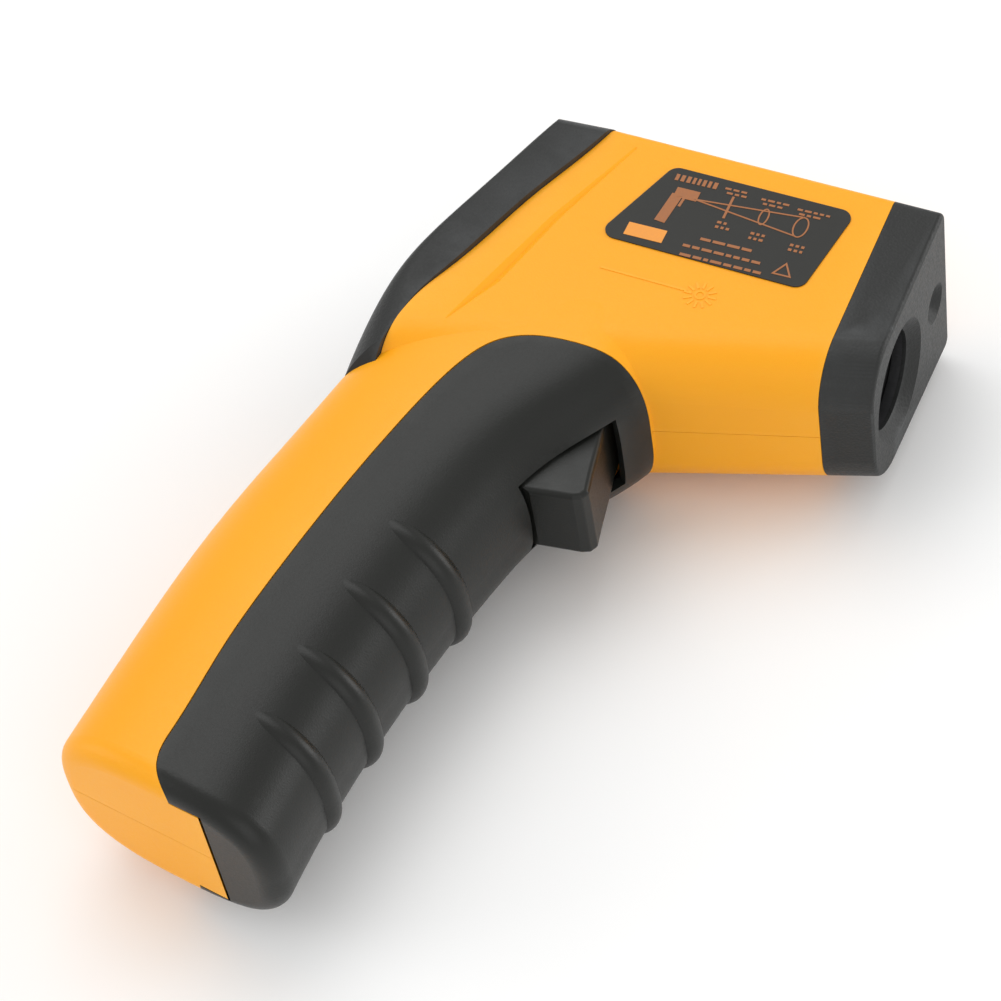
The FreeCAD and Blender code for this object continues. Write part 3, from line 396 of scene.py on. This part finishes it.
nodeFinish = dict(
    left_housing="shellYellow", right_housing="shellYellow", rear_bezel="noseDark", nose_cap="noseDark",
    housing_screws="screwSteel", side_label="labelFilm", battery_door="gripDark", door_hinge_pin="pinSteel",
    trigger="gripDark", trigger_pin="pinSteel", trigger_spring="springSteel", switch_body="chipBlack",
    switch_holder="innerBlack", switch_stem="wireGrey", sensor_barrel="barrelBlack", fresnel_lens="lensMilky",
    lens_ring="barrelBlack", thermopile_sensor="sensorCan", sensor_board="boardGreen",
    laser_module="laserBrass", laser_lens="laserGlass", display_window="windowClear",
    lcd_glass="lcdGlass", lcd_frame="innerBlack",
    zebra_strips="zebraRubber", main_board="boardGreen", board_chips="chipBlack", board_screws="screwSteel",
    keypad_sheet="keyRubber", key_left="keyRubber", key_centre="keyRubber", key_right="keyRubber",
    battery_9v="batteryJacket", battery_snap="innerBlack", battery_pad="foamGrey", red_lead="wireRed",
    black_lead="wireBlack", laser_leads="wireGrey", sensor_leads="wireGrey",
)
for nodeName, finish in nodeFinish.items():
    nodes[nodeName].data.materials.clear()
    nodes[nodeName].data.materials.append(finishes[finish])
print("stage: materials")


smoothAngle = math.radians(35)


def startPiece(name):
    # An empty mesh in edit mode, ready for primitives.
    clearSelection()
    bpy.ops.mesh.primitive_plane_add(size=mm)
    piece = bpy.context.object
    piece.name = name
    piece.data.name = name
    bpy.ops.object.mode_set(mode="EDIT")
    bpy.ops.mesh.select_all(action="SELECT")
    bpy.ops.mesh.delete(type="VERT")
    return piece


def shapeNew(middle, size, turn):
    # Stretches and turns the primitive that was just added, about its own middle.
    bpy.ops.transform.resize(value=(size[0], size[1], 1), center_override=middle)
    if turn:
        bpy.ops.transform.rotate(value=turn, orient_axis="Z", center_override=middle)


def strip(a, b, width, level):
    # A flat bar from a to b, turned to the angle of its line.
    start, end = level(*a), level(*b)
    along = end - start
    middle = (start + end) / 2
    bpy.ops.mesh.select_all(action="DESELECT")
    bpy.ops.mesh.primitive_plane_add(size=1, location=middle)
    shapeNew(middle, (along.length, width * mm), barTurn(along))


def barTurn(along):
    # Blender's transform turns clockwise for a positive value when its view is unknown.
    return turnSign * math.atan2(along.y, along.x)


def ring(centre, half, width, level, corners=40):
    # An oval outline: a loop of edges grown inwards into a band.
    middle = level(*centre)
    bpy.ops.mesh.select_all(action="DESELECT")
    bpy.ops.mesh.primitive_circle_add(vertices=corners, radius=1, fill_type="NOTHING", location=middle)
    shapeNew(middle, (half[0] * mm, half[1] * mm), 0)
    bpy.ops.mesh.extrude_edges_move()
    inner = (1 - width / half[0], 1 - width / half[1], 1)
    bpy.ops.transform.resize(value=inner, center_override=middle)


def disc(centre, radius, level, corners, turn=0.0):
    middle = level(*centre)
    bpy.ops.mesh.select_all(action="DESELECT")
    bpy.ops.mesh.primitive_circle_add(vertices=corners, radius=radius * mm, fill_type="NGON", location=middle)
    if turn:
        bpy.ops.transform.rotate(value=turn, orient_axis="Z", center_override=middle)


def measureTurnSign():
    # Finds which way transform.rotate turns here, from a bar turned by half a right angle.
    probe = startPiece("turnProbe")
    bpy.ops.mesh.primitive_plane_add(size=1, location=(0, 0, 0))
    bpy.ops.transform.resize(value=(1, 0.01, 1), center_override=(0, 0, 0))
    bpy.ops.transform.rotate(value=math.pi / 4, orient_axis="Z", center_override=(0, 0, 0))
    bpy.ops.object.mode_set(mode="OBJECT")
    corner = max(probe.data.vertices, key=lambda v: v.co.x).co
    sign = 1 if corner.y > 0 else -1
    bpy.ops.object.delete()
    return sign


def addModifier(piece, kind, **values):
    bpy.ops.object.modifier_add(type=kind)
    modifier = piece.modifiers[-1]
    for name, value in values.items():
        setattr(modifier, name, value)
    bpy.ops.object.modifier_apply(modifier=modifier.name)


def activate(piece):
    if bpy.context.mode != "OBJECT":
        bpy.ops.object.mode_set(mode="OBJECT")
    clearSelection()
    piece.select_set(True)
    bpy.context.view_layer.objects.active = piece


def faceUp():
    bpy.ops.object.mode_set(mode="EDIT")
    bpy.ops.mesh.select_all(action="SELECT")
    bpy.ops.mesh.normals_make_consistent(inside=False)
    bpy.ops.object.mode_set(mode="OBJECT")


def layOn(piece, target, lift, thick, cuts=0):
    # Drops flat work along -Z onto a CAD surface and gives it a thickness.
    if cuts:
        bpy.ops.mesh.select_all(action="SELECT")
        bpy.ops.mesh.subdivide(number_cuts=cuts)
    activate(piece)
    addModifier(piece, "SHRINKWRAP", target=nodes[target], wrap_method="PROJECT", use_project_z=True,
                use_negative_direction=True, use_positive_direction=False)
    thicken(piece, lift, thick)


def thicken(piece, lift, thick):
    activate(piece)
    bpy.ops.object.mode_set(mode="EDIT")
    bpy.ops.mesh.select_all(action="SELECT")
    bpy.ops.transform.translate(value=(0, 0, lift * mm))
    bpy.ops.object.mode_set(mode="OBJECT")
    addModifier(piece, "SOLIDIFY", thickness=thick * mm, offset=1.0)
    faceUp()


def finishPiece(piece, material, body):
    activate(piece)
    bpy.ops.object.transform_apply(location=True, rotation=True, scale=True)
    bpy.ops.object.shade_smooth_by_angle(angle=smoothAngle)
    piece.data.materials.clear()
    piece.data.materials.append(finishes[material])
    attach(piece, body)
    return piece


turnSign = measureTurnSign()
print("stage: helpers, turn sign", turnSign)

label = dict(
    above=26.0,
    lift=0.02,
    thick=0.05,
    heading=(-47.1, -39.3, 19.2),
    headingWord=(0.5, 0.8),
    headingBar=1.5,
    captions=[(-37.8, -32.7, 19.2), (-30.9, -25.8, 18.65), (-24.1, -18.2, 18.25)],
    captionGap=0.95,
    captionBar=0.45,
    captionWord=(0.7, 1.3),
    ratios=[(-35.2, 11.3), (-28.8, 10.6), (-21.4, 10.1)],
    ratioSpan=(-1.2, 1.4),
    ratioStep=1.1,
    ratioWord=(0.5, 0.8),
    ratioBar=0.55,
    beam=[((-42.0, 15.1), (-22.3, 16.75), 0.3), ((-42.0, 15.1), (-22.6, 12.2), 0.3)],
    tick=((-35.7, 12.4), (-35.7, 17.7), 0.45),
    ovals=[((-29.1, 14.8), (0.9, 2.0)), ((-22.2, 14.4), (1.35, 2.45))],
    ovalPen=0.28,
    pistol=[((-45.9, 15.85), (-41.6, 15.8), 2.3), ((-45.3, 15.3), (-46.1, 8.4), 2.0),
            ((-43.9, 14.8), (-44.1, 12.7), 0.5)],
    sign=((-51.0, 5.25), (-43.9, 5.2), 2.95),
    lines=[(-37.8, -27.3, 6.75), (-40.2, -25.1, 4.5), (-40.0, -25.1, 2.4)],
    word=(0.8, 2.3),
    wordGap=0.4,
    wordBar=0.6,
    warning=((-21.7, 4.0), 2.1),
    warningPen=0.32,
)


def overFlank(x, y):
    return at(x, y, label["above"])


def greekLine(start, end, y, low, high, bar):
    # A row of plain bars of uneven length, where the real label has words.
    x = start
    while x < end - low:
        reach = min(random.uniform(low, high), end - x)
        strip((x, y), (x + reach, y), bar, overFlank)
        x += reach + label["wordGap"]


def triangleMark():
    centre, radius = label["warning"]
    bpy.ops.mesh.select_all(action="DESELECT")
    bpy.ops.mesh.primitive_circle_add(vertices=3, radius=radius * mm, fill_type="NGON",
                                      location=overFlank(*centre))
    bpy.ops.mesh.inset(thickness=label["warningPen"] * mm)
    bpy.ops.mesh.delete(type="FACE")


def labelPrint():
    piece = startPiece("labelPrint")
    greekLine(*label["heading"], *label["headingWord"], label["headingBar"])
    for start, end, y in label["captions"]:
        greekLine(start, end, y, *label["captionWord"], label["captionBar"])
        second = y - label["captionGap"]
        greekLine(start + 0.6, end - 0.8, second, *label["captionWord"], label["captionBar"])
    before, after = label["ratioSpan"]
    for x, y in label["ratios"]:
        for row in (y, y - label["ratioStep"]):
            greekLine(x + before, x + after, row, *label["ratioWord"], label["ratioBar"])
    for start, end, y in label["lines"]:
        greekLine(start, end, y, *label["word"], label["wordBar"])
    for a, b, width in label["beam"]:
        strip(a, b, width, overFlank)
    strip(*label["tick"], overFlank)
    for centre, half in label["ovals"]:
        ring(centre, half, label["ovalPen"], overFlank)
    triangleMark()
    layOn(piece, "side_label", label["lift"], label["thick"])
    return finishPiece(piece, "labelInk", "housing")


def pistolSign():
    # A small side view of such an instrument: head, grip and trigger.
    piece = startPiece("pistolSign")
    for bar in label["pistol"]:
        strip(*bar, overFlank)
    layOn(piece, "side_label", label["lift"], label["thick"])
    return finishPiece(piece, "labelInk", "housing")


def signPatch():
    piece = startPiece("signPatch")
    strip(*label["sign"], overFlank)
    layOn(piece, "side_label", label["lift"], label["thick"])
    return finishPiece(piece, "signInk", "housing")


labelPrint()
pistolSign()
signPatch()
print("stage: label print")

relief = dict(
    line=((-52.0, -4.4), (-35.9, -4.9), 0.45),
    starAt=(-33.4, -5.2),
    rays=12,
    rayFrom=1.5,
    rayTo=2.9,
    rayWidth=0.4,
    ring=1.0,
    thick=0.12,
)


def flankRelief():
    # The fine moulded line under the label and the small round of rays at its end.
    piece = startPiece("flankRelief")
    strip(*relief["line"], overFlank)
    cx, cy = relief["starAt"]
    for i in range(relief["rays"]):
        turn = 2 * math.pi * i / relief["rays"]
        c, s = math.cos(turn), math.sin(turn)
        inner = (cx + relief["rayFrom"] * c, cy + relief["rayFrom"] * s)
        outer = (cx + relief["rayTo"] * c, cy + relief["rayTo"] * s)
        strip(inner, outer, relief["rayWidth"], overFlank)
    ring(relief["starAt"], (relief["ring"], relief["ring"]), 0.35, overFlank)
    layOn(piece, "right_housing", -0.02, relief["thick"] + 0.02, cuts=1)
    return finishPiece(piece, "shellYellow", "housing")


flankRelief()
print("stage: flank relief")

panel = dict(
    tilt=math.radians(18.0),
    at=(-76.9, 1.5, 0.0),
    windowTop=0.15,
    glassTop=-2.6,
    keyTop=1.2,
    keyY=-11.0,
    keys=dict(left=-10.5, centre=0.0, right=10.5),
    window=(15.0, -2.5, 22.0),
    border=0.9,
    borderInset=0.25,
    inkThick=0.03,
    digits=[-7.4, -1.0, 5.4],
    digitSize=(4.2, 8.0),
    digitLow=7.2,
    segment=0.75,
)


def panelMatrix():
    # Panel frame to world: x across, y up the panel, z out of its face.
    up = Vector((math.sin(panel["tilt"]), math.cos(panel["tilt"]), 0))
    out = Vector((-math.cos(panel["tilt"]), math.sin(panel["tilt"]), 0))
    across = up.cross(out)
    matrix = Matrix((across, up, out)).transposed().to_4x4()
    matrix.translation = at(*panel["at"])
    return matrix


def onPanel(x, y):
    return Vector((x, y, 0)) * mm


def panelPiece(piece, height, thick, material, body):
    thicken(piece, height, thick)
    piece.matrix_world = panelMatrix()
    return finishPiece(piece, material, body)


def windowBorder():
    piece = startPiece("windowBorder")
    half, low, high = panel["window"]
    inset = panel["border"] / 2 + panel["borderInset"]
    left, right, foot, top = -half + inset, half - inset, low + inset, high - inset
    grow = panel["border"] / 2
    strip((left - grow, foot), (right + grow, foot), panel["border"], onPanel)
    strip((left - grow, top), (right + grow, top), panel["border"], onPanel)
    strip((left, foot + grow), (left, top - grow), panel["border"], onPanel)
    strip((right, foot + grow), (right, top - grow), panel["border"], onPanel)
    return panelPiece(piece, panel["windowTop"], panel["inkThick"], "innerBlack", "housing")


def displaySegments():
    # The unlit seven-bar digits, a unit mark and small flags, seen faintly with the display off.
    piece = startPiece("displaySegments")
    width, height = panel["digitSize"]
    low = panel["digitLow"]
    bar = panel["segment"]
    gap = bar * 0.65
    for x in panel["digits"]:
        for y in (low, low + height / 2, low + height):
            strip((x - width / 2 + gap, y), (x + width / 2 - gap, y), bar, onPanel)
        for side in (-width / 2, width / 2):
            for y in (low, low + height / 2):
                strip((x + side, y + gap), (x + side, y + height / 2 - gap), bar, onPanel)
    disc((8.3, low), 0.45, onPanel, 16)
    ring((10.2, low + height - 0.6), (0.8, 0.8), 0.35, onPanel, 24)
    for i in range(4):
        strip((-9.5 + 5.2 * i, 2.4), (-6.6 + 5.2 * i, 2.4), 0.8, onPanel)
    strip((-10.5, 18.2), (-6.5, 18.2), 0.9, onPanel)
    return panelPiece(piece, panel["glassTop"], panel["inkThick"], "segmentInk", "housing")


def keySign(side):
    piece = startPiece("keySign_" + side)
    x = panel["keys"][side]
    y = panel["keyY"]
    if side == "centre":
        ring((x, y), (1.5, 1.5), 0.35, onPanel, 28)
        disc((x, y), 0.45, onPanel, 16)
    else:
        turn = 0.0 if side == "left" else math.pi
        disc((x, y), 1.5, onPanel, 3, turn)
    return panelPiece(piece, panel["keyTop"], panel["inkThick"], "keyInk", side + "_key")


windowBorder()
displaySegments()
for keySide in panel["keys"]:
    keySign(keySide)
print("stage: rear panel")

block = dict(
    face=8.75,
    left=-89.6,
    plus=(-70.1, -75.6),
    minus=(-82.6, -75.6),
    arm=1.6,
    bar=0.7,
    rule=(-85.7, 1.0),
    ruleSpan=(3.5, 23.0),
    inkThick=0.03,
)


def overBattery(x, y):
    return at(x, y, block["face"])


def batteryMarks():
    # Polarity marks beside the contacts and a plain rule across the jacket.
    piece = startPiece("batteryMarks")
    (px, py), (nx, ny) = block["plus"], block["minus"]
    strip((px - block["arm"], py), (px + block["arm"], py), block["bar"], overBattery)
    strip((px, py + block["bar"] / 2), (px, py + block["arm"]), block["bar"], overBattery)
    strip((px, py - block["arm"]), (px, py - block["bar"] / 2), block["bar"], overBattery)
    strip((nx - block["arm"], ny), (nx + block["arm"], ny), block["bar"], overBattery)
    height, width = block["rule"]
    start, end = (block["left"] + reach for reach in block["ruleSpan"])
    strip((start, height), (end, height), width, overBattery)
    thicken(piece, 0.0, block["inkThick"])
    return finishPiece(piece, "keyInk", "housing")


batteryMarks()
print("stage: battery marks")

boardParts = dict(
    back=-9.6,
    size=(2.0, 1.25, 0.6),
    round=0.12,
    places=[(-12.0, 2.0), (-12.0, 5.0), (-12.0, 8.0), (8.5, 1.0), (8.5, 4.0), (8.5, 7.0),
            (-3.0, -2.0), (1.5, -2.0), (-9.5, 15.5), (-5.5, 17.5), (-1.0, 17.5), (3.5, 17.5)],
)


def chipPart():
    # One small ceramic part: a block bevelled all round.
    piece = startPiece("boardPart")
    length, width, height = (value * mm for value in boardParts["size"])
    middle = Vector((0, 0, -height / 2))
    bpy.ops.mesh.primitive_cube_add(size=1, location=middle)
    bpy.ops.transform.resize(value=(length, width, height), center_override=middle)
    bpy.ops.mesh.bevel(offset=boardParts["round"] * mm, segments=2, affect="EDGES")
    faceUp()
    return piece


def surfaceParts():
    # Modelled once, then copied to each place on the board's hidden side and joined.
    first = chipPart()
    copies = []
    for x, y in boardParts["places"]:
        activate(first)
        bpy.ops.object.duplicate(linked=False)
        copy = bpy.context.object
        copy.location = Vector((x, y, boardParts["back"])) * mm
        copies.append(copy)
    activate(first)
    bpy.ops.object.delete()
    clearSelection()
    for copy in copies:
        copy.select_set(True)
    bpy.context.view_layer.objects.active = copies[0]
    bpy.ops.object.transform_apply(location=True, rotation=False, scale=False)
    bpy.ops.object.join()
    joined = bpy.context.object
    joined.name = "surfaceParts"
    joined.data.name = "surfaceParts"
    joined.matrix_world = panelMatrix()
    return finishPiece(joined, "chipBlack", "housing")


surfaceParts()
print("stage: board parts")
